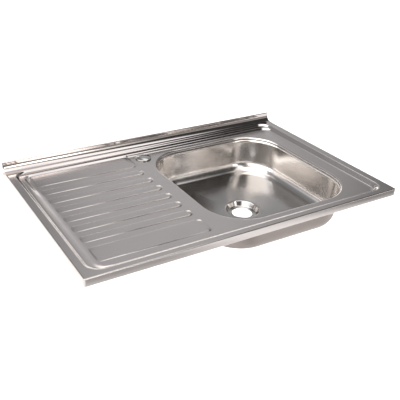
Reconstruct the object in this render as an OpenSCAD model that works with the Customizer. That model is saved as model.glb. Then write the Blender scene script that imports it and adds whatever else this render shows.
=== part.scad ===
// Stainless steel kitchen sink that lies on top of its base cabinet: one square bowl on the right,
// a pressed drainer on the left, a low upstand along the back and folded edges all round.
// Lengths are in millimetres. X runs along the front from left to right, Y to the back, Z up.
// The origin is the middle of the front edge fold, on the plane where the folds rest on the cabinet.

/* [Deck] */
// Width of the sink, left to right
deck_w = 800; // [740:1:1000]
// Depth of the sink, front to back
deck_d = 500; // [494:1:600]
// Thickness of the steel sheet
sheet_t = 0.8; // [0.6:0.1:1]
// Height of the apron, from the rest plane to the top of the rim
apron_h = 18; // [17:0.5:40]
// Outside radius of the bend between rim and apron
edge_r = 2; // [1.5:0.1:2.5]
// Radius of the deck's upright corners
corner_r = 3; // [2.6:0.1:6]

/* [Edge fold] */
// Width of the fold that turns in under the apron and rests on the cabinet
fold_w = 20; // [16:0.5:24]
// Height of the lip at the inner edge of the fold
lip_h = 5; // [4:0.1:6]

/* [Upstand] */
// Height of the upstand above the rim
upstand_h = 22; // [18:0.5:60]
// Thickness of the hollow upstand, front face to back face
upstand_t = 4.4; // [4.4:0.1:12]
// Radius of the cove between rim and upstand
cove_r = 16; // [6:0.5:17]
// Radius of the upstand's top edges
crest_r = 2; // [1.2:0.1:2.1]

/* [Recess] */
// Flat rim left of the recess
rim_left = 17; // [12:0.5:20]
// Flat rim right of the recess
rim_right = 19; // [12:0.5:22]
// Flat rim in front of the recess
rim_front = 14; // [10:0.5:16]
// Flat strip between the recess and the cove of the upstand
rim_back = 1.5; // [1:0.5:5]
// Radius of the recess in its corners
recess_r = 34; // [26:0.5:38]
// Depth of the first step, from the rim to the ledge
ledge_drop = 4.2; // [3:0.1:5]
// Width of the first step's slope
ledge_run = 8; // [6:0.5:10]
// Width of the ledge behind the drainer and the bowl
ledge_back = 11; // [8:0.5:13]
// Width of the ledge left of the drainer
ledge_left = 8; // [4:0.5:12]
// Depth of the floor round the bowl below the rim
floor_drop = 9; // [7.5:0.1:9.5]
// Width of the second step's slope
floor_run = 8; // [5:0.5:9]

/* [Drainer] */
// Distance from the left edge of the sink to the drainer's pads
pad_left = 50; // [46:1:90]
// Flat bridge between the pads and the wall of the bowl
bridge_w = 38; // [34:1:60]
// Distance from the front edge of the sink to the front pad
pad_front = 49; // [40:1:52]
// Number of narrow pads
pad_count = 6; // [3:1:6]
// Width of a narrow pad
pad_w = 24.5; // [20:0.1:25]
// Width of the wide front pad
front_pad_w = 53.5; // [40:0.5:56]
// Width of a groove between two pads
groove_w = 20.3; // [17:0.1:21]
// Depth of the pads below the rim
pad_drop = 7; // [6.4:0.1:7.2]
// Width of a pad's sloping edge
pad_run = 2; // [1.5:0.1:3]
// Radius of the wide pads in their corners
pad_r = 12; // [8:0.5:13]

/* [Bowl] */
// Inside width of the bowl at its mouth
bowl_w = 376; // [340:1:390]
// Inside depth of the bowl at its mouth, front to back
bowl_d = 386; // [340:1:387]
// Inside radius of the bowl's upright corners
bowl_r = 98; // [94:1:120]
// Distance from the right edge of the sink to the bowl
bowl_right = 73; // [60:1:110]
// Distance from the front edge of the sink to the bowl
bowl_front = 49; // [46:1:50]
// Radius of the rolled edge round the bowl's mouth
mouth_r = 5; // [3:0.1:6]
// Straight part of the mouth's collar, down to the weld
collar_h = 2; // [1:0.5:4]
// Height from the bowl's floor at its walls up to the rim
bowl_h = 103; // [90:1:200]
// How far a wall of the bowl leans in, from the weld to the fillet
wall_lean = 4; // [1:0.5:8]
// Radius of the fillet between wall and floor
fillet_r = 28; // [15:1:32]
// Fall of the floor from its edge to the flat round the waste
floor_fall = 9; // [2:0.5:10]
// Width of the falling part of the floor
fall_w = 56; // [30:1:58]

/* [Waste seat] */
// Radius of the waste hole
waste_r = 26; // [24:0.1:30]
// Outside radius of the recess that the waste fitting sits in
seat_r = 42; // [38:0.5:45]
// Depth of that recess
seat_drop = 12; // [4:0.5:14]
// Width of the recess's sloping edge
seat_run = 5; // [3:0.5:6]

/* [Tap hole and cover] */
// Radius of the tap hole
tap_r = 17.5; // [16:0.1:17.7]
// Distance from the foot of the second step to the middle of the tap hole
tap_back = 21; // [20.5:0.5:30]
// Distance from the drainer's pads to the middle of the tap hole
tap_side = 35; // [26:0.5:44]
// Radius of the cover
cover_r = 20.5; // [20.3:0.1:22]
// Height of the cover's domed top over its rim
dome_h = 3; // [1.5:0.1:4]
// Height of the cover's rim
cover_rim_h = 2; // [1.8:0.1:3]
// Thickness of the cover's sheet
cover_t = 0.9; // [0.7:0.1:1.2]
// Thickness of the rubber seal under the cover
seal_t = 1; // [0.8:0.1:1.2]
// Width of the seal's ring
seal_w = 1.6; // [1.2:0.1:1.9]
// Radius of the cover's stud
stud_r = 4; // [3:0.5:5]
// Length of the stud below the cover
stud_l = 27; // [26:1:50]
// Radius of the clamp plate
plate_r = 23; // [20:0.5:25]
// Thickness of the clamp plate
plate_t = 2; // [1.5:0.1:3]
// Height of the wing nut's hub
hub_h = 7; // [5:0.5:9]
// Radius of the wing nut's hub
hub_r = 6.5; // [6:0.1:8]
// Span of the wing nut's wings, tip to tip
wing_span = 32; // [26:1:40]
// Height of the wings
wing_h = 12; // [9:0.5:14]
// Thickness of the wings
wing_t = 2.4; // [1.5:0.1:3]

/* [Hold-down brackets] */
// Width of a bracket along the edge fold
bracket_w = 30; // [20:1:40]
// Thickness of a bracket's steel
bracket_t = 1.5; // [1:0.1:2]
// Length of a bracket's leg below the rest plane
leg_h = 36; // [30:1:50]
// Depth of a bracket's tooth inside the fold
tooth_h = 3; // [2:0.1:3.4]
// Radius of the screw hole in the leg
screw_hole_r = 2.25; // [2:0.05:2.75]
// Length of the slanting slot between its end centres
slot_l = 15; // [10:0.5:18]

/* [Sound pads] */
// Thickness of a sound-deadening pad
mat_t = 2; // [1:0.1:3]
// Side of the square pad under the bowl
bowl_mat_w = 176; // [150:1:184]
// Radius of the pads' corners
mat_r = 12; // [6:0.5:20]
// Margin of the drainer's pad inside the ribbed field
mat_margin = 24; // [15:1:40]

/* [Hidden] */
$fn = 72;

// Running clearance between pieces that move on each other
gap = 0.3;
// Clearance of the seal in the cover
seal_gap = 0.05;
// Clearance round the stud in the clamp plate and the nut
stud_gap = 0.2;
// Least room between the clamp plate and the rolled edge of the bowl's mouth
plate_room = 3;
// How far a cutting shape runs past the face it cuts
over = 1;
// Places of the brackets along the side, as shares of the sink's depth
bracket_shares = [-0.26, 0.26];
// Places of a bracket's holes down its leg, as shares of the leg
hole_share = 0.3;
slot_share = 0.68;
// Rise of the slanting slot, as an angle
slot_angle = 28;
// Width of a wing at its root, as a share of the hub's diameter
wing_root_share = 0.75;

// Heights of the deck's surfaces
rim_z = apron_h;
ledge_z = rim_z - ledge_drop;
floor_z = rim_z - floor_drop;
pad_z = rim_z - pad_drop;
crest_z = rim_z + upstand_h;

// Deck in plan
deck_y0 = -fold_w / 2;
deck_y1 = deck_y0 + deck_d;
deck_y = (deck_y0 + deck_y1) / 2;

// Upstand and recess in plan
upstand_y = deck_y1 - upstand_t;
cove_y = upstand_y - cove_r;
recess_x0 = -deck_w / 2 + rim_left;
recess_x1 = deck_w / 2 - rim_right;
recess_y0 = deck_y0 + rim_front;
recess_y1 = cove_y - rim_back;
field_x0 = recess_x0 + ledge_run + ledge_left;
field_x1 = recess_x1 - ledge_run;
field_y0 = recess_y0 + ledge_run;
field_y1 = recess_y1 - ledge_run - ledge_back;
field_r = recess_r - ledge_run;
foot_y = field_y1 - floor_run;

// Bowl in plan
bowl_x = deck_w / 2 - bowl_right - bowl_w / 2;
bowl_y = deck_y0 + bowl_front + bowl_d / 2;
bowl_x0 = bowl_x - bowl_w / 2;
corner_x = bowl_x0 + bowl_r;
corner_y = bowl_y + bowl_d / 2 - bowl_r;

// Tap hole: beside the pads, or further left where a larger bowl's corner would come too near
tap_y = foot_y - tap_back;
tap_past = max(0, tap_y - corner_y);
tap_reach = bowl_r + mouth_r + plate_r + plate_room;
tap_clear_x = corner_x - sqrt(max(0, tap_reach * tap_reach - tap_past * tap_past));
tap_x = min(bowl_x0 - bridge_w + tap_side, tap_clear_x);

// Drainer in plan
pads_x0 = -deck_w / 2 + pad_left;
pads_x1 = tap_x - tap_side;
pads_x = (pads_x0 + pads_x1) / 2;
pads_l = pads_x1 - pads_x0;
pads_y0 = deck_y0 + pad_front;
narrow_y0 = pads_y0 + front_pad_w + groove_w;
pad_pitch = pad_w + groove_w;
back_pad_y0 = narrow_y0 + pad_count * pad_pitch;
back_pad_w = field_y1 - back_pad_y0;

// Fall of the grooves: level with the pads at their left end, level with the floor at the bridge
groove_fall = (pad_z - floor_z) / pads_l;

// Collar of the mouth and profile of the bowl, measured outwards from the mouth and up
mouth_z = floor_z - mouth_r;
weld_z = mouth_z - collar_h;
bowl_floor_z = rim_z - bowl_h;
lean_angle = atan(wall_lean / (weld_z - bowl_floor_z - fillet_r));
wall_l = (weld_z - bowl_floor_z - fillet_r * (1 - sin(lean_angle))) / cos(lean_angle);
fillet_x = -wall_l * sin(lean_angle) - fillet_r * cos(lean_angle);
fillet_z = bowl_floor_z + fillet_r;
flat_x = fillet_x - fall_w;
flat_z = bowl_floor_z - floor_fall;
seat_z = flat_z - seat_drop;

// What covers the tap hole
cover_z = floor_z + seal_t;
dome_r = (cover_r * cover_r + dome_h * dome_h) / (2 * dome_h);
plate_z = floor_z - sheet_t - gap - plate_t;
nut_z = plate_z - stud_gap - hub_h;

// Edge fold on the side and the bracket hung on it
fold_x = deck_w / 2 - fold_w;
leg_x = fold_x - gap - bracket_t;
hook_x = fold_x + sheet_t + gap + bracket_t;
hook_z = lip_h + gap + bracket_t;

// Rounded rectangle, centred
module round_rect(w, d, r) {
    square([w - 2 * r, d], center = true);
    square([w, d - 2 * r], center = true);
    for (x = [-1, 1], y = [-1, 1])
        translate([x * (w / 2 - r), y * (d / 2 - r)])
            circle(r);
}

// Plate with a rounded outline, standing on its underside
module round_plate(w, d, r, h) {
    linear_extrude(height = h)
        round_rect(w, d, r);
}

// Solid between two rounded outlines, the lower one of w by d and the upper one grown by run on each side
module splayed(w, d, r, run, h) {
    section_x = [[-w / 2, 0], [w / 2, 0], [w / 2 + run, h], [-w / 2 - run, h]];
    section_y = [[-d / 2, 0], [d / 2, 0], [d / 2 + run, h], [-d / 2 - run, h]];
    rotate([90, 0, 0])
        linear_extrude(height = d - 2 * r, center = true)
            polygon(section_x);
    rotate([90, 0, 90])
        linear_extrude(height = w - 2 * r, center = true)
            polygon(section_y);
    for (x = [-1, 1], y = [-1, 1])
        translate([x * (w / 2 - r), y * (d / 2 - r), 0])
            cylinder(h = h, r1 = r, r2 = r + run);
}

// Runs a profile round a rounded rectangle: the profile's X points outwards from the outline, its Y up
module run_round(w, d, r) {
    for (side = [[w, d, 0], [d, w, 90], [w, d, 180], [d, w, 270]])
        rotate(side[2]) {
            translate([side[0] / 2, 0, 0])
                rotate([90, 0, 0])
                    linear_extrude(height = side[1] - 2 * r, center = true)
                        children();
            translate([side[0] / 2 - r, side[1] / 2 - r, 0])
                rotate_extrude(angle = 90)
                    translate([r, 0])
                        children();
        }
}

// What a convex round of radius r takes off an edge: the corner is at the origin, outwards and up
module edge_waste(r) {
    difference() {
        translate([-r, -r])
            square([r + over, r + over]);
        translate([-r, -r])
            circle(r);
    }
}

// Cross-section of the upstand in Y and Z, drawn in by inset on its outer faces
module upstand_section(inset) {
    face_y = upstand_y + inset;
    back_y = deck_y1 - inset;
    top_z = crest_z - inset;
    round_r = crest_r - inset;
    difference() {
        translate([cove_y, -over])
            square([back_y - cove_y, top_z + over]);
        translate([cove_y, rim_z + cove_r])
            circle(cove_r + inset);
        translate([cove_y - over, rim_z + cove_r])
            square([face_y - cove_y + over, upstand_h]);
        translate([back_y, top_z])
            edge_waste(round_r);
        translate([face_y, top_z])
            mirror([1, 0])
                edge_waste(round_r);
    }
}

// Height of the grooves' floor at x
function groove_z(x) = floor_z + (pads_x1 - x) * groove_fall;

// Sloping floor of the grooves, as a bed that fills the recess from below
module groove_bed() {
    section = [
        [field_x0, floor_z - floor_run],
        [pads_x1, floor_z - floor_run],
        [pads_x1, floor_z],
        [field_x0, groove_z(field_x0)]
    ];
    translate([0, (field_y0 + field_y1) / 2, 0])
        rotate([90, 0, 0])
            linear_extrude(height = field_y1 - field_y0, center = true)
                polygon(section);
}

// One raised pad of the drainer, from its front edge y0 and of width w, measured at half height
module pad(y0, w, r) {
    translate([pads_x, y0 + w / 2, pad_z])
        mirror([0, 0, 1])
            splayed(pads_l - pad_run, w - pad_run, r - pad_run, pad_run, pad_z - floor_z);
}

// All pads: the wide one at the front, the narrow ones and the one that runs into the back step
module pads() {
    pad(pads_y0, front_pad_w, pad_r);
    for (i = [0 : pad_count - 1])
        pad(narrow_y0 + i * pad_pitch, pad_w, pad_w / 2);
    pad(back_pad_y0, back_pad_w, pad_r);
}

// Mouth of the bowl as a cutting shape, grown by inset, with its rolled edge
module mouth_cut(inset) {
    translate([bowl_x, bowl_y, 0]) {
        translate([0, 0, -2 * over])
            round_plate(bowl_w + 2 * inset, bowl_d + 2 * inset, bowl_r + inset, rim_z + 2 * over);
        run_round(bowl_w + 2 * mouth_r, bowl_d + 2 * mouth_r, bowl_r + mouth_r)
            difference() {
                translate([inset - mouth_r, mouth_z])
                    square([mouth_r - inset, mouth_r + over]);
                translate([0, mouth_z])
                    circle(mouth_r - inset);
            }
    }
}

// Everything under the deck's upper surface. The sheet is this form less the same form one sheet further in
module deck_form(inset) {
    w = deck_w - 2 * inset;
    d = deck_d - 2 * inset;
    sink = inset > 0 ? over : 0;
    difference() {
        union() {
            difference() {
                union() {
                    difference() {
                        translate([0, deck_y, -sink])
                            round_plate(w, d, corner_r - inset, rim_z - inset + sink);
                        translate([0, deck_y, rim_z - inset])
                            run_round(w, d, corner_r - inset)
                                edge_waste(edge_r - inset);
                    }
                    rotate([90, 0, 90])
                        linear_extrude(height = w, center = true)
                            intersection() {
                                upstand_section(inset);
                                translate([-deck_d, -sink])
                                    square([2 * deck_d, crest_z + 2 * over]);
                            }
                }
                translate([(recess_x0 + recess_x1) / 2, (recess_y0 + recess_y1) / 2, ledge_z - inset])
                    splayed(
                        recess_x1 - recess_x0 - 2 * ledge_run,
                        recess_y1 - recess_y0 - 2 * ledge_run,
                        recess_r - ledge_run,
                        ledge_run,
                        ledge_drop
                    );
                translate([(field_x0 + field_x1) / 2, (field_y0 + field_y1) / 2, floor_z - inset])
                    splayed(
                        field_x1 - field_x0 - 2 * floor_run,
                        field_y1 - field_y0 - 2 * floor_run,
                        field_r - floor_run,
                        floor_run,
                        ledge_z - floor_z
                    );
            }
            translate([0, 0, -inset]) {
                groove_bed();
                pads();
            }
        }
        mouth_cut(inset);
    }
}

// Edge fold: a strip turned in under the apron, with a lip at its inner edge
module edge_fold() {
    inner_w = deck_w - 2 * fold_w;
    inner_d = deck_d - 2 * fold_w;
    translate([0, deck_y, 0])
        difference() {
            round_plate(deck_w, deck_d, corner_r, lip_h);
            translate([0, 0, -over])
                round_plate(inner_w, inner_d, corner_r, lip_h + 2 * over);
            translate([0, 0, sheet_t])
                difference() {
                    round_plate(deck_w - 2 * sheet_t, deck_d - 2 * sheet_t, corner_r - sheet_t, lip_h);
                    translate([0, 0, -over])
                        round_plate(inner_w + 2 * sheet_t, inner_d + 2 * sheet_t, corner_r, lip_h + 2 * over);
                }
        }
}

// Pressed top sheet: rim, recess, drainer, upstand, aprons and edge fold in one piece of steel
module deck_panel() {
    color("#b3aeab")
        difference() {
            union() {
                difference() {
                    deck_form(0);
                    deck_form(sheet_t);
                }
                edge_fold();
            }
            translate([bowl_x, bowl_y, -over])
                round_plate(
                    bowl_w + 2 * mouth_r,
                    bowl_d + 2 * mouth_r,
                    bowl_r + mouth_r,
                    weld_z + over
                );
            translate([tap_x, tap_y, 0])
                cylinder(h = rim_z, r = tap_r);
        }
}

// Profile of the bowl's wall, fillet and falling floor
module bowl_profile() {
    wall_foot = [-wall_l * sin(lean_angle), weld_z - wall_l * cos(lean_angle)];
    outwards = [sheet_t * cos(lean_angle), -sheet_t * sin(lean_angle)];
    centre = [fillet_x, fillet_z];
    reach = 2 * fillet_r;
    polygon([
        [0, weld_z],
        [sheet_t / cos(lean_angle), weld_z],
        wall_foot + outwards,
        wall_foot
    ]);
    intersection() {
        translate(centre)
            difference() {
                circle(fillet_r + sheet_t);
                circle(fillet_r);
            }
        polygon([
            centre,
            centre + reach * [cos(lean_angle), -sin(lean_angle)],
            centre + reach * [1, -1],
            centre + reach * [0, -1]
        ]);
    }
    polygon([
        [fillet_x, bowl_floor_z],
        [fillet_x, bowl_floor_z - sheet_t],
        [flat_x, flat_z - sheet_t],
        [flat_x, flat_z]
    ]);
}

// Deep-drawn bowl, welded to the collar of the deck's mouth, with the seat of the waste pressed into its floor
module bowl() {
    color("#d6d2cb")
        translate([bowl_x, bowl_y, 0]) {
            run_round(bowl_w, bowl_d, bowl_r)
                bowl_profile();
            difference() {
                translate([0, 0, flat_z - sheet_t])
                    round_plate(bowl_w + 2 * flat_x, bowl_d + 2 * flat_x, bowl_r + flat_x, sheet_t);
                translate([0, 0, flat_z - sheet_t - over])
                    cylinder(h = sheet_t + 2 * over, r = seat_r);
            }
            rotate_extrude()
                polygon([
                    [seat_r, flat_z],
                    [seat_r, flat_z - sheet_t],
                    [seat_r - seat_run, seat_z - sheet_t],
                    [waste_r, seat_z - sheet_t],
                    [waste_r, seat_z],
                    [seat_r - seat_run, seat_z]
                ]);
        }
}

// Self-adhesive sound pad under the flat of the bowl, open round the waste seat
module bowl_sound_pad() {
    color("#3a3a3c")
        translate([bowl_x, bowl_y, flat_z - sheet_t - mat_t])
            difference() {
                round_plate(bowl_mat_w, bowl_mat_w, mat_r, mat_t);
                translate([0, 0, -over])
                    cylinder(h = mat_t + 2 * over, r = seat_r + mat_t);
            }
}

// Self-adhesive sound pad under the drainer, stuck to the undersides of the grooves
module drainer_sound_pad() {
    x0 = pads_x0 + mat_margin;
    x1 = pads_x1 - mat_margin;
    y0 = pads_y0 + mat_margin;
    y1 = back_pad_y0 + mat_margin;
    section = [
        [x0, groove_z(x0) - sheet_t],
        [x0, groove_z(x0) - sheet_t - mat_t],
        [x1, groove_z(x1) - sheet_t - mat_t],
        [x1, groove_z(x1) - sheet_t]
    ];
    color("#3a3a3c")
        intersection() {
            translate([0, (y0 + y1) / 2, 0])
                rotate([90, 0, 0])
                    linear_extrude(height = y1 - y0, center = true)
                        polygon(section);
            translate([(x0 + x1) / 2, (y0 + y1) / 2, 0])
                round_plate(x1 - x0, y1 - y0, mat_r, rim_z);
        }
}

// Domed cover of the tap hole, pressed from sheet, with a threaded stud fixed under it
module tap_hole_cover() {
    color("#e4e4e2")
        translate([tap_x, tap_y, cover_z]) {
            rotate_extrude()
                intersection() {
                    difference() {
                        translate([0, cover_rim_h + dome_h - dome_r])
                            circle(dome_r);
                        translate([0, cover_rim_h + dome_h - dome_r])
                            circle(dome_r - cover_t);
                        translate([-dome_r, -2 * dome_r])
                            square([2 * dome_r, 2 * dome_r]);
                    }
                    translate([0, cover_rim_h - cover_t])
                        square([cover_r, dome_h + cover_t + over]);
                }
            difference() {
                translate([0, 0, gap - seal_t])
                    cylinder(h = seal_t - gap + cover_rim_h, r = cover_r);
                translate([0, 0, gap - seal_t - over])
                    cylinder(h = seal_t - gap + over, r = cover_r - cover_t);
                translate([0, 0, cover_t])
                    cylinder(h = cover_rim_h, r = cover_r - cover_t);
            }
            translate([0, 0, -stud_l])
                cylinder(h = stud_l + cover_t, r = stud_r);
        }
}

// Rubber ring between the cover and the deck
module cover_seal() {
    outer_r = cover_r - cover_t - seal_gap;
    color("#232325")
        translate([tap_x, tap_y, floor_z])
            difference() {
                cylinder(h = seal_t, r = outer_r);
                translate([0, 0, -over])
                    cylinder(h = seal_t + 2 * over, r = outer_r - seal_w);
            }
}

// Steel plate that the nut pulls up against the underside of the deck
module cover_clamp_plate() {
    color("#a9adb0")
        translate([tap_x, tap_y, plate_z])
            difference() {
                cylinder(h = plate_t, r = plate_r);
                translate([0, 0, -over])
                    cylinder(h = plate_t + 2 * over, r = stud_r + stud_gap);
            }
}

// Wing nut on the cover's stud
module cover_wing_nut() {
    wing_root = 2 * hub_r * wing_root_share;
    color("#a9adb0")
        translate([tap_x, tap_y, nut_z])
            difference() {
                union() {
                    cylinder(h = hub_h, r = hub_r);
                    for (side = [0, 180])
                        rotate(side)
                            rotate([90, 0, 0])
                                linear_extrude(height = wing_t, center = true)
                                    difference() {
                                        union() {
                                            square([wing_span / 2 - wing_root / 2, hub_h]);
                                            translate([wing_span / 2 - wing_root / 2, hub_h - wing_h / 2])
                                                circle(wing_root / 2);
                                        }
                                        translate([0, hub_h])
                                            square([wing_span, wing_h]);
                                    }
                }
                translate([0, 0, -over])
                    cylinder(h = hub_h + 2 * over, r = stud_r + stud_gap);
            }
}

// Cross-section of a bracket on the right side: leg, hook over the lip and tooth, in X and Z
module bracket_section() {
    difference() {
        translate([leg_x, -leg_h])
            square([hook_x - leg_x, leg_h + hook_z]);
        translate([leg_x + bracket_t, -leg_h - over])
            square([hook_x - leg_x, leg_h + over + hook_z - bracket_t - tooth_h]);
        translate([leg_x + bracket_t, -leg_h])
            square([hook_x - leg_x - 2 * bracket_t, leg_h + hook_z - bracket_t]);
        translate([leg_x, hook_z])
            mirror([1, 0])
                edge_waste(bracket_t);
        translate([hook_x, hook_z])
            edge_waste(bracket_t);
    }
}

// Hold-down bracket on the right side, at a share of the depth from the deck's middle,
// with a round hole and a slanting slot for wood screws
module bracket(place_share) {
    bore_x = leg_x - over;
    bore_l = bracket_t + 2 * over;
    translate([0, deck_y + place_share * deck_d, 0])
        difference() {
            rotate([90, 0, 0])
                linear_extrude(height = bracket_w, center = true)
                    bracket_section();
            translate([bore_x, 0, -leg_h * hole_share])
                rotate([0, 90, 0])
                    cylinder(h = bore_l, r = screw_hole_r);
            translate([bore_x, 0, -leg_h * slot_share])
                rotate([slot_angle, 0, 0]) {
                    for (end = [-1, 1])
                        translate([0, end * slot_l / 2, 0])
                            rotate([0, 90, 0])
                                cylinder(h = bore_l, r = screw_hole_r);
                    translate([0, -slot_l / 2, -screw_hole_r])
                        cube([bore_l, slot_l, 2 * screw_hole_r]);
                }
        }
}

// Hands a piece of the right side over to the left side
module left_side() {
    mirror([1, 0, 0])
        children();
}

module zinc() {
    color("#a9adb0")
        children();
}

deck_panel();
bowl();
bowl_sound_pad();
drainer_sound_pad();
tap_hole_cover();
cover_seal();
cover_clamp_plate();
cover_wing_nut();
zinc() left_side() bracket(bracket_shares[0]);  // bracket_front_left
zinc() bracket(bracket_shares[0]);  // bracket_front_right
zinc() left_side() bracket(bracket_shares[1]);  // bracket_rear_left
zinc() bracket(bracket_shares[1]);  // bracket_rear_right
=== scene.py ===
from math import atan, cos, pi, radians, sin

import bmesh
import bpy
import numpy as np
from mathutils import Matrix, Vector


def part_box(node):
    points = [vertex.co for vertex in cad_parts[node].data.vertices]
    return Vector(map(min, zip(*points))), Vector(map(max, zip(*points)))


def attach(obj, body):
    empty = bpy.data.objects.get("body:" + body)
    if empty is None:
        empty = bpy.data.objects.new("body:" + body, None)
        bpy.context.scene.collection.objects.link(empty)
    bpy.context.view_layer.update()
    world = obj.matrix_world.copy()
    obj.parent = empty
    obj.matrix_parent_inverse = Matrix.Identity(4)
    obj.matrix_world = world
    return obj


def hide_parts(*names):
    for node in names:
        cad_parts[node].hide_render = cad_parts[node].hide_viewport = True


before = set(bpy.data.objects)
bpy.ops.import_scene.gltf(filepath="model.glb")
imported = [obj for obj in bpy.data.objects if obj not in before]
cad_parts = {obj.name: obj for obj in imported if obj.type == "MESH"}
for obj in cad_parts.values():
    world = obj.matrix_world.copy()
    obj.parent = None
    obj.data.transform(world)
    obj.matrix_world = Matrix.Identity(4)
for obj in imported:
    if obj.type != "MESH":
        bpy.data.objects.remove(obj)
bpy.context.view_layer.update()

# Deck sheet
# The top is one sheet of 0.8 mm austenitic stainless steel. A press forms its recess, the drainer's
# pads and the collar of the bowl's mouth. The apron, the upstand and the edge fold are bent on a
# brake, and the corners are welded and ground.
MM = 0.001
deck_low, deck_high = (np.array(corner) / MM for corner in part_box("deck_panel"))
left, front, rest = deck_low
right, back, crest = deck_high
sheet_t = 0.8
apron_h = 18
rim = rest + apron_h
edge_r, corner_r, weld_r = 2, 3, 0.8
crest_r, upstand_t, cove_r = 2, 4.4, 16
face = back - upstand_t
cove = face - cove_r

# The recess goes down in two steps, to a ledge and to the field. Each outline is its left, right,
# front and back edge.
ledge_drop, ledge_run = 4.2, 8
floor_drop, floor_run = 9, 8
floor = rim - floor_drop
recess = (left + 17, right - 19, front + 14, cove - 1.5)
field = (recess[0] + 16, recess[1] - 8, recess[2] + 8, recess[3] - 19)
recess_r, field_r = 34, 26

bowl_low, bowl_high = (np.array(corner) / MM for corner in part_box("bowl"))
bowl_middle = (bowl_low + bowl_high)[:2] / 2
bowl_half = (bowl_high - bowl_low)[:2] / 2 - sheet_t
bowl_r = 98
mouth_r, collar = 5, 2
weld = floor - mouth_r - collar

# One wide pad at the front, six narrow ones, and one that runs out under the back step
pad_drop = 7
pad_top = rim - pad_drop
pads_x = (left + 50, bowl_middle[0] - bowl_half[0] - 38)
pad_w, groove_w, narrow_pads = 24.5, 20.3, 6
pad_run, pad_r = 1.4, 12
pad_ys = [(front + 49, front + 102.5)]
for i in range(narrow_pads):
    pad_start = pad_ys[-1][1] + groove_w
    pad_ys.append((pad_start, pad_start + pad_w))
pad_ys.append((pad_ys[-1][1] + groove_w, field[3] + 20))

# At the right the pads end lower, and at the left the grooves have risen nearly to the pads
pad_end_share, pad_end_run, groove_end_drop = 0.55, 16, 0.5


def ease(t):
    """S-shaped step from 0 to 1"""
    t = np.clip(t, 0, 1)
    return t * t * (3 - 2 * t)


def inward(x, y, x0, x1, y0, y1, r):
    """How far a point lies inside a rounded rectangle"""
    qx = np.abs(x - (x0 + x1) / 2) - (x1 - x0) / 2 + r
    qy = np.abs(y - (y0 + y1) / 2) - (y1 - y0) / 2 + r
    return r - np.hypot(np.maximum(qx, 0), np.maximum(qy, 0)) - np.minimum(np.maximum(qx, qy), 0)


# Where the two steps lie close together they share a width. On the left the second one is drawn
# out to a soft slope, which fades away towards the back and the right.
shared_run, apart_run = 4, 8
soft_run, soft_back, soft_back_run, soft_right, soft_right_run = 14, 40, 90, 45, 30


def deck_height(x, y):
    """Height of the pressed sheet's upper face"""
    outer = inward(x, y, *recess, recess_r)
    inner = inward(x, y, *field, field_r)
    along = np.clip((pads_x[1] - x) / (pads_x[1] - pads_x[0]), 0, 1)
    groove = floor + (pad_top - floor - groove_end_drop) * along
    pads = np.zeros_like(x + y)
    for y0, y1 in pad_ys:
        end_r = min(pad_r, (y1 - y0) / 2)
        pads = np.maximum(pads, ease(inward(x, y, *pads_x, y0, y1, end_r) / pad_run))
    pads = pads * (pad_end_share + (1 - pad_end_share) * ease((pads_x[1] - x) / pad_end_run))
    bottom = groove + (pad_top - groove) * pads
    apart = np.clip((outer - inner - ledge_run) / apart_run, 0, 1)
    overlap = shared_run * (1 - apart)
    soft = soft_run * ease((field[3] - soft_back - y) / soft_back_run)
    soft = soft * ease((field[0] + soft_right - x) / soft_right_run)
    first = ease(outer / (ledge_run + overlap))
    second = ease((inner + overlap + soft / 3) / (floor_run + overlap + soft))
    ledge = rim - ledge_drop
    return rim - ledge_drop * first + (bottom - ledge) * second


def lines(marks):
    """Grid lines between marks, each a place and the spacing up to the next mark"""
    marks = sorted(marks)
    out = []
    for (start, step), (end, _) in zip(marks, marks[1:]):
        out += list(np.linspace(start, end, max(1, round((end - start) / step)), endpoint=False))
    return np.array(out + [marks[-1][0]])


def quarter(steps):
    """Angles of a quarter turn in equal steps"""
    return np.linspace(0, pi / 2, steps + 1)


def weave(points, faces, rows, closed=False):
    """Joins rows of equally many points with quads"""
    start = len(points)
    n = len(rows[0])
    for row in rows:
        points.extend(tuple(p) for p in row)
    for i in range(len(rows) - 1):
        for j in range(n if closed else n - 1):
            k = (j + 1) % n
            a = start + i * n
            faces.append((a + j, a + k, a + n + k, a + n + j))


def smooth_piece(name, points, faces, crease, heal=None):
    """Object from points in millimetres, smooth but for edges sharper than the crease angle"""
    mesh = bpy.data.meshes.new(name)
    mesh.from_pydata([tuple(c * MM for c in p) for p in points], [], faces)
    bm = bmesh.new()
    bm.from_mesh(mesh)
    if heal:
        heal(bm)
    else:
        bmesh.ops.recalc_face_normals(bm, faces=bm.faces)
    for f in bm.faces:
        f.smooth = True
    for e in bm.edges:
        if len(e.link_faces) == 2 and e.calc_face_angle() > crease:
            e.smooth = False
    bm.to_mesh(mesh)
    bm.free()
    obj = bpy.data.objects.new(name, mesh)
    bpy.context.collection.objects.link(obj)
    return obj


def pressed_sheet(name, points, faces, seen_at):
    """Pressed sheet below a skin of points. seen_at is a place where its upper face looks up"""
    same_point, tiny_edge = 0.02 * MM, 0.001 * MM

    def heal(bm):
        """Joins doubled points and turns all faces the right way"""
        bmesh.ops.remove_doubles(bm, verts=bm.verts, dist=same_point)
        bmesh.ops.dissolve_degenerate(bm, edges=bm.edges, dist=tiny_edge)
        bmesh.ops.recalc_face_normals(bm, faces=bm.faces)
        place = Vector(seen_at) * MM
        seen = min(bm.faces, key=lambda f: (f.calc_center_median() - place).length)
        if seen.normal.z < 0:
            bmesh.ops.reverse_faces(bm, faces=bm.faces)

    obj = smooth_piece(name, points, faces, radians(40), heal)
    skin = obj.modifiers.new("Sheet", "SOLIDIFY")
    skin.thickness = sheet_t * MM
    skin.offset = -1
    skin.material_offset = 1
    return obj


points, faces = [], []

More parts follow.
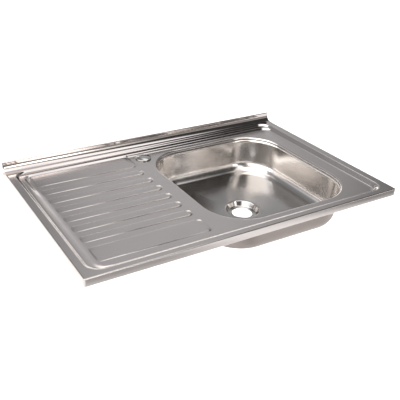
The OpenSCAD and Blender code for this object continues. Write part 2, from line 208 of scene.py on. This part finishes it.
# Pressed field of the sheet, with an opening for the bowl's mouth and the flat round it. The grid
# is close at the steps and at the pads' edges, and wide on the flats.
opening = (bowl_middle[0] - 209, bowl_middle[0] + 211, bowl_middle[1] - 206, bowl_middle[1] + 204)
xs = lines([
    (left + corner_r, 5), (recess[0] - 1, 1.1), (field[0] + 10, 2.2), (pads_x[0] + 4, 10),
    (pads_x[1] - pad_end_run, 0.95), (pads_x[1] + 1, 3.5), (opening[0], 4.3), (opening[1], 3.8),
    (field[1] - 9, 1.1), (recess[1] + 1, 5), (right - corner_r, 5),
])
y_marks = [
    (front + corner_r, 4), (recess[2] - 1, 0.95), (field[2] + 9, 3.5), (opening[2], 3.5),
    (opening[3], 3.5), (field[3] - 9, 0.9), (cove, 5),
]
for y0, y1 in pad_ys:
    y_marks += [(y0 - 0.4, 0.5), (y0 + pad_run + 0.3, 5)]
    if y1 < field[3]:
        y_marks += [(y1 - pad_run - 0.3, 0.5), (y1 + 0.4, 5)]
ys = lines(y_marks)
grid_x, grid_y = np.meshgrid(xs, ys)

# Each height is the mean of nine spots round its grid point, so slanting edges stay smooth
gap_x, gap_y = np.meshgrid(np.gradient(xs), np.gradient(ys))
off = 0.35
spots = [(a, b) for a in (-off, 0, off) for b in (-off, 0, off)]
grid_z = sum(deck_height(grid_x + a * gap_x, grid_y + b * gap_y) for a, b in spots) / len(spots)
nx, ny = len(xs), len(ys)
points.extend(zip(grid_x.ravel(), grid_y.ravel(), grid_z.ravel()))
i0, i1 = (int(np.argmin(abs(xs - x))) for x in opening[:2])
j0, j1 = (int(np.argmin(abs(ys - y))) for y in opening[2:])
for j in range(ny - 1):
    for i in range(nx - 1):
        if i0 <= i < i1 and j0 <= j < j1:
            continue
        a = j * nx + i
        faces.append((a, a + 1, a + nx + 1, a + nx))

# Flat round the bowl's mouth, its rolled edge and its collar. Each border point of the opening has
# its own core point and direction, so every ring down to the bowl's floor keeps the same points.
border = [(x, ys[j0]) for x in xs[i0:i1]] + [(xs[i1], y) for y in ys[j0:j1]]
border += [(x, ys[j1]) for x in xs[i1:i0:-1]] + [(xs[i0], y) for y in ys[j1:j0:-1]]
border = np.array(border)
core_half = bowl_half - bowl_r
core = bowl_middle + np.clip(border - bowl_middle, -core_half, core_half)
aim = border - core
aim /= np.linalg.norm(aim, axis=1)[:, None]


def ring(inset, z):
    """Points round the bowl, inset from its wall line at the mouth, at height z"""
    plan = core + aim * (bowl_r - inset)
    return [(x, y, z) for x, y in plan]


flat_w = 1
rows = [[(x, y, floor) for x, y in border], ring(-mouth_r - flat_w, floor), ring(-mouth_r, floor)]
for turn in quarter(8)[1:]:
    rows.append(ring(mouth_r * (sin(turn) - 1), floor - mouth_r * (1 - cos(turn))))
rows.append(ring(0, weld))
weave(points, faces, rows, closed=True)

# Upstand: cove, front face, crest and back skirt, with welded and ground ends. Each point of its
# side is y, z and the way the sheet faces there.
crest_side = [(cove, rim, 0, 1)]
for turn in quarter(11)[1:]:
    y, z = cove + cove_r * sin(turn), rim + cove_r * (1 - cos(turn))
    crest_side.append((y, z, -sin(turn), cos(turn)))
for turn in quarter(5):
    y, z = face + crest_r * (1 - cos(turn)), crest - crest_r * (1 - sin(turn))
    crest_side.append((y, z, -cos(turn), sin(turn)))
for turn in quarter(5):
    y, z = back - crest_r * (1 - sin(turn)), crest - crest_r * (1 - cos(turn))
    crest_side.append((y, z, sin(turn), cos(turn)))
crest_side.append((back, rim - edge_r, 1, 0))


def crest_row(x, inset):
    """Side of the upstand at x, shrunk by inset"""
    return [(x, y - way_y * inset, z - way_z * inset) for y, z, way_y, way_z in crest_side]


end_rows = [(weld_r * sin(turn), weld_r * (1 - cos(turn))) for turn in quarter(5)]
rows = [crest_row(left + weld_r - reach, inset) for reach, inset in reversed(end_rows)]
rows += [crest_row(x, 0) for x in xs if left + weld_r < x < right - weld_r]
rows += [crest_row(right - weld_r + reach, inset) for reach, inset in end_rows]
weave(points, faces, rows)
for x in (left, right):
    start = len(points)
    points.extend(crest_row(x, weld_r) + [(x, cove, rim - edge_r)])
    faces.append(tuple(range(start, len(points))))


# Bend between rim and apron, along the left side, the front and the right side. Each point of the
# path has its place, the way outwards, the quadrant at a corner, and the corner's radius.
def path_corner(cx, cy, sx, sy, first, steps, r):
    """Quarter round of the outline: centre, quadrant, first angle and radius"""
    return [(cx, cy, cos(first + a), sin(first + a), sx, sy, r) for a in quarter(steps)]


def inset_point(p, inset):
    """Place of a path point, moved inwards"""
    cx, cy, dx, dy, sx, sy, r = p
    if inset <= r:
        return cx + dx * (r - inset), cy + dy * (r - inset)
    if sx or sy:
        return cx - sx * (inset - r), cy - sy * (inset - r)
    return cx - dx * (inset - r), cy - dy * (inset - r)


west = [(left, y, -1, 0, 0, 0, 0) for y in ys[::-1] if y > front + corner_r]
south_west = path_corner(left + corner_r, front + corner_r, -1, -1, pi, 8, corner_r)
south = [(x, front, 0, -1, 0, 0, 0) for x in xs if left + corner_r < x < right - corner_r]
south_east = path_corner(right - corner_r, front + corner_r, 1, -1, 1.5 * pi, 8, corner_r)
east = [(right, y, 1, 0, 0, 0, 0) for y in ys if y > front + corner_r]
open_path = west + south_west + south + south_east + east
apron_top = rim - edge_r - 0.4

# Close to the upstand the bend gets as tight as the ground weld
taper = 12
rows = [[(*inset_point(p, corner_r), rim) for p in open_path]]
for turn in quarter(6):
    row = []
    for p in open_path:
        at_weld = float(ease((p[1] - cove + taper) / taper)) * (p[4] == 0)
        bend = edge_r - (edge_r - weld_r) * at_weld
        row.append((*inset_point(p, bend * (1 - sin(turn))), rim - bend * (1 - cos(turn))))
    rows.append(row)
rows.append([(*inset_point(p, 0), apron_top) for p in open_path])
weave(points, faces, rows)

# Apron and edge fold, closed all round
north_east = path_corner(right - weld_r, back - weld_r, 1, 1, 0, 3, weld_r)
north = [(x, back, 0, 1, 0, 0, 0) for x in xs[::-1] if left + weld_r < x < right - weld_r]
north_west = path_corner(left + weld_r, back - weld_r, -1, 1, pi / 2, 3, weld_r)
closed_path = open_path + [(right, cove + 8, 1, 0, 0, 0, 0)] + north_east + north + north_west
closed_path += [(left, cove + 8, -1, 0, 0, 0, 0)]
fold_w, lip_h, bend_r = 20, 5, 1.2
fold_side = [(0, apron_top)]
fold_side += [(bend_r * (1 - cos(turn)), rest + bend_r * (1 - sin(turn))) for turn in quarter(3)]
fold_side += [(fold_w - bend_r * (1 - sin(turn)), rest + bend_r * (1 - cos(turn))) for turn in quarter(3)]
fold_side.append((fold_w, rest + lip_h))
rows = [[(*inset_point(p, inset), z) for p in closed_path] for inset, z in fold_side]
weave(points, faces, rows, closed=True)

deck = pressed_sheet("deck_sheet", points, faces, (pads_x[0], front + 8, rim))
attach(deck, "sink")
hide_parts("deck_panel")


def tint(hex_code):
    """Linear colour of an sRGB hex value"""
    out = []
    for k in (1, 3, 5):
        c = int(hex_code[k:k + 2], 16) / 255
        out.append(c / 12.92 if c <= 0.04045 else ((c + 0.055) / 1.055) ** 2.4)
    return (*out, 1)


def add(tree, kind, settings=None, **links):
    """Adds a node. links holds a value or a socket for each input's name, or n and its number"""
    node = tree.nodes.new("ShaderNode" + kind)
    for key, value in (settings or {}).items():
        setattr(node, key, value)
    for key, value in links.items():
        key = key.replace("_", " ")
        socket = node.inputs[int(key[1:])] if key[0] == "n" and key[1:].isdigit() else node.inputs[key]
        if isinstance(value, bpy.types.NodeSocket):
            tree.links.new(value, socket)
        else:
            socket.default_value = value
    return node


def new_material(name):
    """Empty material with its tree and its Principled shader"""
    material = bpy.data.materials.new(name)
    material.use_nodes = True
    return material, material.node_tree, material.node_tree.nodes["Principled BSDF"]


def shade(tree, *parts):
    """Product of soft changes. Each has a measure, where it starts and ends, and its levels there"""
    product = None
    for measure, start, end, low, high in parts:
        change = add(
            tree, "MapRange", {"interpolation_type": "SMOOTHSTEP"}, Value=measure,
            From_Min=start, From_Max=end, To_Min=low, To_Max=high,
        ).outputs[0]
        if product is not None:
            change = add(tree, "Math", {"operation": "MULTIPLY"}, n0=product, n1=change).outputs[0]
        product = change
    return product


# Austenitic stainless steel, ground with a fine belt along the sheet. The grit leaves hair-fine
# lines that blur what it reflects, more in some places than in others. The real lines are about
# 0.05 mm wide, too fine to show, so they are drawn 0.7 mm wide and 45 mm long.
line_w, line_l, cloud_w = 0.7 * MM, 45 * MM, 60 * MM
satin_steel, tree, shader = new_material("satin_ground_stainless")
shader.inputs["Metallic"].default_value = 1
place = add(tree, "TexCoord").outputs["Object"]
grain_place = add(tree, "Mapping", Vector=place, Scale=(1 / line_l, 1 / line_w, 1 / line_w))
grain = add(tree, "TexNoise", Vector=grain_place.outputs[0], Scale=1, Detail=3, Roughness=0.6)
cloud = add(tree, "TexNoise", Vector=place, Scale=1 / cloud_w, Detail=3, Roughness=0.55)
blur = add(
    tree, "MapRange", Value=grain.outputs[0], From_Min=0.25, From_Max=0.75, To_Min=0.175, To_Max=0.2,
)
patchy = add(
    tree, "MapRange", Value=cloud.outputs[0], From_Min=0.3, From_Max=0.7, To_Min=-0.02, To_Max=0.02,
)
total = add(tree, "Math", {"operation": "ADD"}, n0=blur.outputs[0], n1=patchy.outputs[0])

# The upstand and the strip in front of it are rubbed brighter than the flats
at = add(tree, "SeparateXYZ", Vector=place)
polish = shade(
    tree, (at.outputs["Z"], (rim + 4) * MM, (rim + 12) * MM, 1.0, 0.5),
    (at.outputs["Y"], (field[3] - 12) * MM, (field[3] + 4) * MM, 1.0, 0.55),
)
final = add(tree, "Math", {"operation": "MULTIPLY"}, n0=total.outputs[0], n1=polish)
tree.links.new(final.outputs[0], shader.inputs["Roughness"])
colour = add(tree, "Mix", {"data_type": "RGBA"}, n0=grain.outputs[0], n6=tint("#b9b3b1"), n7=tint("#c0bab8"))
tree.links.new(colour.outputs[2], shader.inputs["Base Color"])
relief = add(tree, "Bump", Height=grain.outputs[0], Strength=0.02, Distance=0.05 * MM)
tree.links.new(relief.outputs[0], shader.inputs["Normal"])
deck.data.materials.append(satin_steel)

# The back of the sheet is left as the mill rolled it: duller, with a mottle. Its colour is also darker than
# the steel's own, as painted shade of the sink's underside. The mottle is a few millimetres wide in reality
# and is drawn 14 mm wide to show.
mottle_w = 14 * MM
mill_steel_and_painted_shade, tree, shader = new_material("mill_finish_stainless_and_painted_shade")
shader.inputs["Metallic"].default_value = 1
place = add(tree, "TexCoord").outputs["Object"]
mottle = add(tree, "TexNoise", Vector=place, Scale=1 / mottle_w, Detail=5, Roughness=0.6)
colour = add(
    tree, "Mix", {"data_type": "RGBA"}, n0=mottle.outputs[0], n6=tint("#877f7c"), n7=tint("#978f8b"),
)
tree.links.new(colour.outputs[2], shader.inputs["Base Color"])
blur = add(tree, "MapRange", Value=mottle.outputs[0], From_Min=0.3, From_Max=0.7, To_Min=0.4, To_Max=0.5)
tree.links.new(blur.outputs[0], shader.inputs["Roughness"])
deck.data.materials.append(mill_steel_and_painted_shade)

# Bowl
# Deep drawn from the same steel and seam-welded to the collar of the mouth, then polished. The
# floor stays satin and falls to the seat of the waste, a recess with a 52 mm hole.
bowl_h = 103
bowl_floor = rim - bowl_h
fillet_r, wall_lean = 28, 4
floor_fall, seat_drop, seat_run = 9, 12, 5
seat_r, waste_r, seat_edge = 42, 26, 2.5
lean = atan(wall_lean / (weld - bowl_floor - fillet_r))
wall_l = (weld - bowl_floor - fillet_r * (1 - sin(lean))) / cos(lean)
fillet_in = wall_l * sin(lean) + fillet_r * cos(lean)
points, faces = [], []
rows = [ring(down * sin(lean), weld - down * cos(lean)) for down in np.linspace(0, wall_l, 11)]
for turn in np.linspace(lean, pi / 2, 19)[1:]:
    rows.append(ring(fillet_in - fillet_r * cos(turn), bowl_floor + fillet_r * (1 - sin(turn))))

# The floor goes over from the bowl's outline to the seat's circle
foot = core + aim * (bowl_r - fillet_in)
angle = np.arctan2(*(foot - bowl_middle).T[::-1])
circle = np.stack([np.cos(angle), np.sin(angle)], 1)
for t in np.linspace(0, 1, 25)[1:]:
    plan = foot * (1 - t) + (bowl_middle + circle * (seat_r + seat_edge)) * t
    z = bowl_floor - floor_fall * float(ease(t ** 0.85))
    rows.append([(x, y, z) for x, y in plan])
seat_top = bowl_floor - floor_fall
seat_floor = seat_top - seat_drop
slope = atan(seat_drop / seat_run)


def disc(r, z):
    """Ring of points round the waste"""
    return [(x, y, z) for x, y in bowl_middle + circle * r]


for turn in np.linspace(0, slope, 6)[1:]:
    rows.append(disc(seat_r + seat_edge * (1 - sin(turn)), seat_top - seat_edge * (1 - cos(turn))))
low_r = seat_r - seat_run
for turn in np.linspace(slope, 0, 6):
    rows.append(disc(low_r - seat_edge * (1 - sin(turn)), seat_floor + seat_edge * (1 - cos(turn))))
rows += [disc(waste_r + 3, seat_floor), disc(waste_r, seat_floor)]
weave(points, faces, rows, closed=True)
bowl = pressed_sheet("drawn_bowl", points, faces, (*bowl_middle + [90, 0], seat_top))
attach(bowl, "sink")
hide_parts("bowl")

# The same steel, buffed: its walls mirror softly, with the slight waves that drawing leaves. Its
# floor is satin ground and looks greyer.
wave_w, haze_w = 50 * MM, 25 * MM
polished_steel, tree, shader = new_material("buffed_stainless")
shader.inputs["Metallic"].default_value = 1
place = add(tree, "TexCoord").outputs["Object"]
height = add(tree, "SeparateXYZ", Vector=place).outputs["Z"]
ground_part = shade(tree, (height, (bowl_floor + 1) * MM, (bowl_floor + 12) * MM, 1.0, 0.0))
waves = add(tree, "TexNoise", Vector=place, Scale=1 / wave_w, Detail=1, Roughness=0.4)
haze = add(tree, "TexNoise", Vector=place, Scale=1 / haze_w, Detail=2, Roughness=0.5)
wall_blur = add(
    tree, "MapRange", Value=haze.outputs[0], From_Min=0.3, From_Max=0.7, To_Min=0.17, To_Max=0.21,
)
floor_blur = add(
    tree, "MapRange", Value=haze.outputs[0], From_Min=0.3, From_Max=0.7, To_Min=0.14, To_Max=0.18,
)
blur = add(
    tree, "Mix", {"data_type": "FLOAT"}, n0=ground_part, n2=wall_blur.outputs[0], n3=floor_blur.outputs[0],
)
tree.links.new(blur.outputs[0], shader.inputs["Roughness"])
walls = add(tree, "Mix", {"data_type": "RGBA"}, n0=haze.outputs[0], n6=tint("#d2cecb"), n7=tint("#dbd7d4"))
colour = add(tree, "Mix", {"data_type": "RGBA"}, n0=ground_part, n6=walls.outputs[2], n7=tint("#a6a3a1"))
tree.links.new(colour.outputs[2], shader.inputs["Base Color"])
relief = add(tree, "Bump", Height=waves.outputs[0], Strength=0.2, Distance=0.6 * MM)
tree.links.new(relief.outputs[0], shader.inputs["Normal"])
bowl.data.materials.append(polished_steel)
bowl.data.materials.append(mill_steel_and_painted_shade)

# Cover of the tap hole
# A polished cap, spun from stainless sheet, closes the tap hole. The threaded stud fixed in it
# passes through the hole to the clamp plate and the wing nut.
cap_low, cap_high = (np.array(corner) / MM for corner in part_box("tap_hole_cover"))
cap_middle = (cap_low + cap_high)[:2] / 2
cap_r = (cap_high - cap_low)[0] / 2
cap_foot = floor + 0.3
cap_wall, foot_edge, cap_edge = 0.9, (0.2, 0.3), 0.9
cap_rim_h = 3
cap_top = floor + cap_rim_h
dome_h = cap_high[2] - cap_top
dome_r = (cap_r ** 2 + dome_h ** 2) / (2 * dome_h)
edge_slope = atan(cap_r / (dome_r - dome_h))


def turned(name, middle, profile, steps, twist=None):
    """Piece turned from a profile of radii and heights. twist changes the radius with the angle"""
    points, faces = [], []
    rows = []
    for r, z in profile:
        row = []
        for step in range(steps):
            a = step / steps * 2 * pi
            reach = r + (twist(a, z) if twist else 0)
            row.append((middle[0] + reach * cos(a), middle[1] + reach * sin(a), z))
        rows.append(row)
    weave(points, faces, rows, closed=True)
    faces.append(tuple(range(steps)))
    faces.append(tuple(range(len(points) - steps, len(points))))
    return smooth_piece(name, points, faces, radians(35))


def dome_drop(r):
    """How far the dome lies below its top at radius r"""
    return dome_r - (dome_r ** 2 - r ** 2) ** 0.5


profile = [(cap_r - cap_wall, cap_foot), (cap_r - foot_edge[0], cap_foot)]
profile += [(cap_r, cap_foot + foot_edge[1]), (cap_r, cap_top - cap_edge)]
for turn in np.linspace(0, pi / 2 - edge_slope, 8)[1:]:
    profile.append((cap_r - cap_edge * (1 - cos(turn)), cap_top - cap_edge * (1 - sin(turn))))
start_r, start_z = profile[-1]
for r in np.linspace(start_r, 0, 16)[1:-1]:
    share = dome_drop(r) / dome_drop(start_r)
    profile.append((r, cap_high[2] - (cap_high[2] - start_z) * share))
profile.append((0.05, cap_high[2]))
cap = turned("cover_cap", cap_middle, profile, 96)
stud_r, pitch, thread_depth = 4, 1.25, 0.7
stud_top = floor + 0.8
tip_r, tip_flat_r, tip_edge, tip_h = 3.2, 2.6, 0.05, 0.8


def thread(a, z):
    """Depth of the stud's thread at angle a and height z"""
    phase = (z / pitch - a / (2 * pi)) % 1
    return thread_depth * (abs(2 * phase - 1) - 1)


profile = [(tip_flat_r, cap_low[2]), (tip_r, cap_low[2] + tip_edge)]
profile += [(stud_r, z) for z in np.arange(cap_low[2] + tip_h, stud_top, pitch / 8)]
stud = turned("cover_stud", cap_middle, profile, 24, thread)
for piece in (cap, stud):
    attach(piece, "sink")
    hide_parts("tap_hole_cover")

# Polished stainless cap: nearly a mirror, a little uneven from spinning. Its colour is darker than bare
# polished steel, as painted shade that dims the bright panel it mirrors.
spin_w = 4 * MM
cap_steel, tree, shader = new_material("polished_stainless_cap")
shader.inputs["Metallic"].default_value = 1
place = add(tree, "TexCoord").outputs["Object"]
haze = add(tree, "TexNoise", Vector=place, Scale=1 / spin_w, Detail=3)
blur = add(tree, "MapRange", Value=haze.outputs[0], From_Min=0.3, From_Max=0.7, To_Min=0.08, To_Max=0.16)
tree.links.new(blur.outputs[0], shader.inputs["Roughness"])
colour = add(tree, "Mix", {"data_type": "RGBA"}, n0=haze.outputs[0], n6=tint("#a9a7a5"), n7=tint("#b5b3b1"))
tree.links.new(colour.outputs[2], shader.inputs["Base Color"])
for piece in (cap, stud):
    piece.data.materials.append(cap_steel)

# Seal of the cover
# A flat ring of black EPDM rubber, punched from sheet, lies inside the cap's rim. Its face is matt
# and has a faint dusty bloom.
bloom_w = 1.5 * MM
rubber, tree, shader = new_material("black_epdm")
place = add(tree, "TexCoord").outputs["Object"]
bloom = add(tree, "TexNoise", Vector=place, Scale=1 / bloom_w, Detail=3)
colour = add(tree, "Mix", {"data_type": "RGBA"}, n0=bloom.outputs[0], n6=tint("#1b1b1c"), n7=tint("#2a2a2b"))
tree.links.new(colour.outputs[2], shader.inputs["Base Color"])
blur = add(tree, "MapRange", Value=bloom.outputs[0], To_Min=0.6, To_Max=0.85)
tree.links.new(blur.outputs[0], shader.inputs["Roughness"])


def dress(node, material):
    """Gives a solid of the frame its material"""
    node.data.materials.clear()
    node.data.materials.append(material)


dress(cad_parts["cover_seal"], rubber)

# Clamp plate, wing nut and hold-down brackets
# Punched and bent from mild steel, or cast for the nut, then zinc plated. The plate and the nut pull
# the cover down, and the brackets hang on the edge fold and are screwed to the cabinet.
plated = [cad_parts[name] for name in ("cover_clamp_plate", "cover_wing_nut")]
plated += [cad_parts[name] for name in sorted(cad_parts) if name.startswith("bracket")]

# Zinc plate: a bluish silver with cloudy stains, shinier in some blotches than in others
blotch_w, stain_w = 3 * MM, 6 * MM
zinc, tree, shader = new_material("zinc_plated_steel")
shader.inputs["Metallic"].default_value = 1
place = add(tree, "TexCoord").outputs["Object"]
blotch = add(tree, "TexVoronoi", {"feature": "SMOOTH_F1"}, Vector=place, Scale=1 / blotch_w)
stain = add(tree, "TexNoise", Vector=place, Scale=1 / stain_w, Detail=4)
colour = add(tree, "Mix", {"data_type": "RGBA"}, n0=stain.outputs[0], n6=tint("#b2b7bb"), n7=tint("#cfd2d2"))
tree.links.new(colour.outputs[2], shader.inputs["Base Color"])
blur = add(tree, "MapRange", Value=blotch.outputs[0], To_Min=0.32, To_Max=0.5)
tree.links.new(blur.outputs[0], shader.inputs["Roughness"])
relief = add(tree, "Bump", Height=stain.outputs[0], Strength=0.15, Distance=0.1 * MM)
tree.links.new(relief.outputs[0], shader.inputs["Normal"])
for node in plated:
    edge = node.modifiers.new("Deburred edges", "BEVEL")
    edge.width = 0.25 * MM
    edge.segments = 2
    edge.limit_method = "ANGLE"
    edge.angle_limit = radians(40)
    dress(node, zinc)

# Sound pads
# Sheets of bitumen with a mineral filler, stuck under the drainer and the bowl's floor to stop the
# steel from ringing. They are dull and rough. The filler's grains, about 0.3 mm in reality, are
# drawn at 1.2 mm to show.
grain_w = 1.2 * MM
bitumen, tree, shader = new_material("filled_bitumen")
place = add(tree, "TexCoord").outputs["Object"]
grains = add(tree, "TexNoise", Vector=place, Scale=1 / grain_w, Detail=4, Roughness=0.7)
colour = add(
    tree, "Mix", {"data_type": "RGBA"}, n0=grains.outputs[0], n6=tint("#29292b"), n7=tint("#434345"),
)
tree.links.new(colour.outputs[2], shader.inputs["Base Color"])
shader.inputs["Roughness"].default_value = 0.9
relief = add(tree, "Bump", Height=grains.outputs[0], Strength=0.4, Distance=0.2 * MM)
tree.links.new(relief.outputs[0], shader.inputs["Normal"])
for name in ("bowl_sound_pad", "drainer_sound_pad"):
    dress(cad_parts[name], bitumen)

# Studio floor
# White paper lies under the sink. In front, out of the picture, a patch of it is painted grey as the shade
# where the studio light falls off, with a lighter band in its middle; the apron mirrors it and so gets its
# darker tones.
floor_z, floor_half = -0.85, 30
corners = [(-floor_half, -floor_half), (floor_half, -floor_half), (floor_half, floor_half)]
corners.append((-floor_half, floor_half))
mesh = bpy.data.meshes.new("studio_floor")
mesh.from_pydata([(x, y, floor_z) for x, y in corners], [], [(0, 1, 2, 3)])
ground = bpy.data.objects.new("studio_floor", mesh)
bpy.context.collection.objects.link(ground)
white = 0.96
paper, tree, shader = new_material("studio_paper")
spot_x, spot_y = add(tree, "SeparateXYZ", Vector=add(tree, "TexCoord").outputs["Object"]).outputs[:2]
# Painted shade on the paper: grey in front where the light falls off, with a painted pool of light in a band
# to the right
painted_shade_patch = shade(
    tree, (spot_y, -1.0, -0.15, 1.0, 0.0), (spot_y, -2.1, -1.4, 0.0, 1.0),
    (spot_x, -0.7, 0.1, 0.0, 1.0), (spot_x, 2.0, 2.9, 1.0, 0.0),
)
painted_shade_levels = shade(tree, (spot_x, 0.35, 0.78, 0.3, 0.88), (spot_x, 0.85, 1.6, 1.0, 0.2))
tone = add(tree, "Mix", {"data_type": "FLOAT"}, n0=painted_shade_patch, n2=white, n3=painted_shade_levels)
tree.links.new(tone.outputs[0], shader.inputs["Base Color"])
shader.inputs["Roughness"].default_value = 0.9
mesh.materials.append(paper)

# Studio light
# Soft light for polished metal comes from white panels all round, with dark gaps between them, so
# each fold of the steel shows as a bright or a dark line. Each panel is a product of soft edges,
# and where two overlap the brighter one shows.
world = bpy.data.worlds.new("studio_sky")
bpy.context.scene.world = world
world.use_nodes = True
tree = world.node_tree
way = add(tree, "TexCoord").outputs["Generated"]
way_x, way_y, way_z = add(tree, "SeparateXYZ", Vector=way).outputs[:3]


def slant(sideways, ahead):
    """How far the way goes sideways for each step ahead, which counts as 0.05 at least"""
    parts = []
    for direction in (sideways, ahead):
        part = add(tree, "VectorMath", {"operation": "DOT_PRODUCT"}, n0=way, n1=direction)
        parts.append(part.outputs["Value"])
    least = add(tree, "Math", {"operation": "MAXIMUM"}, n0=parts[1], n1=0.05)
    return add(tree, "Math", {"operation": "DIVIDE"}, n0=parts[0], n1=least.outputs[0]).outputs[0]


# A wide panel hangs over the sink. It is brightest along its right-hand edge, which slants.
across = slant((1, -0.3, 0), (0, 0, 1))
beside = slant((1, -0.15, 0), (0, 0, 1))
behind_x = slant((1, 0, 0), (0, 1, 0))
over = shade(
    tree, (across, 0.46, 0.62, 2.05, 0.06), (beside, 0.08, 0.36, 0.32, 1.0),
    (behind_x, 0.35, 0.65, 0.6, 1.0),
)

# Behind the sink the light dims to the left and to the right, and is brighter near the floor
behind = shade(
    tree, (behind_x, 0.28, 0.45, 0.4, 0.68), (behind_x, 0.75, 0.95, 1.0, 0.8),
    (behind_x, 1.05, 1.35, 1.0, 0.5),
)
low_glow = shade(tree, (way_z, 0.2, 0.32, 3.0, 0.0), (behind_x, 0.7, 1.0, 1.0, 0.0))
behind = add(tree, "Math", {"operation": "MULTIPLY_ADD"}, n0=behind, n1=low_glow, n2=behind).outputs[0]

# In front it is dim at the left and near the floor, with a dark gap higher up at the right
before_x = slant((1, 0, 0), (0, -1, 0))
before = shade(tree, (before_x, 0.2, 0.3, 0.22, 1.0), (way_z, 0.35, 0.43, 0.4, 0.9))
dark_gap = shade(tree, (before_x, 0.58, 0.66, 0.0, -0.92), (way_z, 0.44, 0.5, 0.0, 1.0))
before = add(tree, "Math", {"operation": "MULTIPLY_ADD"}, n0=before, n1=dark_gap, n2=before).outputs[0]

to_back = shade(tree, (way_y, -0.1, 0.2, 0.0, 1.0))
horizon = add(tree, "Mix", {"data_type": "FLOAT"}, n0=to_back, n2=before, n3=behind).outputs[0]
rise = shade(tree, (way_z, 0.64, 0.75, 0.0, 1.0))
light = add(tree, "Mix", {"data_type": "FLOAT"}, n0=rise, n2=horizon, n3=over).outputs[0]

# Smaller panels: a narrow one high in front, one at the left, one behind to the left, one in
# front, and one above that lights the paper
above = add(tree, "VectorMath", {"operation": "DOT_PRODUCT"}, n0=way, n1=(-0.2, 0.0, 0.98))
panels = [
    shade(
        tree, (way_x, -0.06, 0.04, 0.0, 2.6), (way_x, 0.15, 0.23, 1.0, 0.0), (way_y, -0.3, -0.1, 1.0, 0.0),
        (way_z, 0.58, 0.66, 0.0, 1.0),
    ),
    shade(
        tree, (way_x, -0.5, -0.3, 1.9, 0.0), (way_y, 0.1, 0.4, 1.0, 0.2), (way_z, 0.08, 0.25, 0.0, 1.0),
        (way_z, 0.44, 0.52, 1.0, 1.9), (way_z, 0.6, 0.7, 1.0, 0.8),
    ),
    shade(
        tree, (way_x, -0.4, -0.28, 4.6, 0.0), (way_y, 0.1, 0.3, 0.0, 1.0), (way_y, 0.44, 0.52, 1.0, 0.0),
        (way_z, 0.26, 0.32, 0.0, 1.0), (way_z, 0.56, 0.66, 1.0, 0.0),
    ),
    shade(
        tree, (before_x, 0.22, 0.27, 0.0, 7.5), (before_x, 0.37, 0.43, 1.0, 0.22),
        (before_x, 0.46, 0.58, 1.0, 0.0), (way_z, 0.2, 0.34, 0.0, 1.0), (way_z, 0.5, 0.62, 1.0, 0.0),
    ),
    shade(tree, (above.outputs["Value"], 0.86, 0.95, 0.0, 5.2)),
]
for panel in panels:
    light = add(tree, "Math", {"operation": "MAXIMUM"}, n0=light, n1=panel).outputs[0]
tree.links.new(light, tree.nodes["Background"].inputs["Strength"])

# The light in front and near the floor is a little warmer
front_part = shade(tree, (way_y, -0.3, 0.3, 1.0, 0.0))
low_part = shade(tree, (way_z, 0.2, 0.32, 1.0, 0.0))
warm = add(tree, "Math", {"operation": "MAXIMUM"}, n0=front_part, n1=low_part)
hue = add(tree, "Mix", {"data_type": "RGBA"}, n0=warm.outputs[0], n6=tint("#fcfdff"), n7=tint("#fffcf8"))
tree.links.new(hue.outputs[2], tree.nodes["Background"].inputs["Color"])

# Camera
# It stands in front of the left corner and looks down at the sink, with the framing of the
# photograph: the deck's centre lies left of the middle of its lens.
camera_data = bpy.data.cameras.new("camera")
camera = bpy.data.objects.new("camera", camera_data)
bpy.context.collection.objects.link(camera)

# Its place is given from the deck's centre, in metres
deck_centre = Vector((0, (front + back) / 2, rim)) * MM
from_centre = Vector((-0.7299, -1.0847, 0.6529))
yaw, pitch_down, roll = radians(30.39), radians(29.67), radians(1.89)
aimed = Matrix.Rotation(-yaw, 3, "Z") @ Matrix.Rotation(pi / 2 - pitch_down, 3, "X")
aimed = aimed @ Matrix.Rotation(roll, 3, "Z")
camera.matrix_world = Matrix.Translation(deck_centre + from_centre) @ aimed.to_4x4()

# Focal length and optical centre in pixels of the photograph, which is 400 wide and high
picture = 400
focal, centre_x, centre_y = 608.1, 162.8, 211.1
camera_data.sensor_width = 36
camera_data.lens = focal / picture * camera_data.sensor_width
camera_data.shift_x = (picture / 2 - centre_x) / picture
camera_data.shift_y = (centre_y - picture / 2) / picture
camera_data.clip_start, camera_data.clip_end = 0.05, 100
bpy.context.scene.camera = camera
bpy.context.scene.view_settings.view_transform = "Standard"
